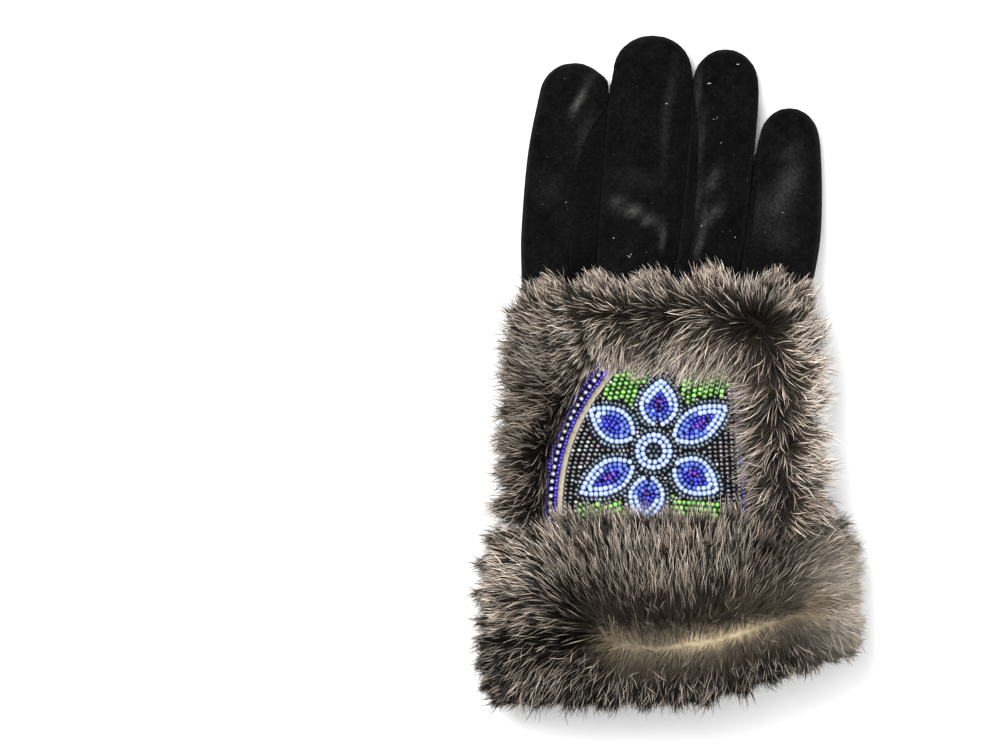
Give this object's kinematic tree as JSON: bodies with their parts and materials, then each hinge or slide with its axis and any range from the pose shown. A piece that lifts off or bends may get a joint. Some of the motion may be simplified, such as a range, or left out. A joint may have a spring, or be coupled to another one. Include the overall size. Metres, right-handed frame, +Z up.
{
  "type": "glove",
  "caption": "Right-hand suede glove lying on its palm, with a beaded flower panel on its back in a frame of fur, and a fur cuff.",
  "frame": {"origin": "middle of the footprint, on the surface that the glove lies on", "axes": "+Y towards the fingertips, +X towards the little finger, +Z up out of the back of the hand"},
  "size_m": [0.1426, 0.2432, 0.0452],
  "materials": {
    "suede": "napped black suede",
    "hide": "smoked tan hide",
    "dark_beads": "gunmetal and black seed beads",
    "pale_beads": "opaque pale blue seed beads with blue hearts",
    "green_beads": "green and lime seed beads",
    "cobalt_beads": "cobalt and clear seed beads",
    "fur": "brown fur with pale hair tips"
  },
  "bodies": {
    "root": {"hand_back": "suede", "hand_palm": "suede", "fourchette_index_middle": "suede", "fourchette_middle_ring": "suede", "fourchette_ring_little": "suede", "thumb": "suede", "hide_panel": "hide", "bead_ground": "dark_beads", "flower_centre": "pale_beads", "petal_1": "pale_beads", "petal_2": "pale_beads", "petal_3": "pale_beads", "petal_4": "pale_beads", "petal_5": "pale_beads", "petal_6": "pale_beads", "leaf_1": "green_beads", "leaf_2": "green_beads", "leaf_3": "green_beads", "leaf_4": "green_beads", "edge_beads_thumb_side": "cobalt_beads", "edge_beads_little_side": "cobalt_beads", "fur_frame": "fur", "fur_wrist_band": "fur", "fur_hem_band": "fur"}
  },
  "joints": []
}
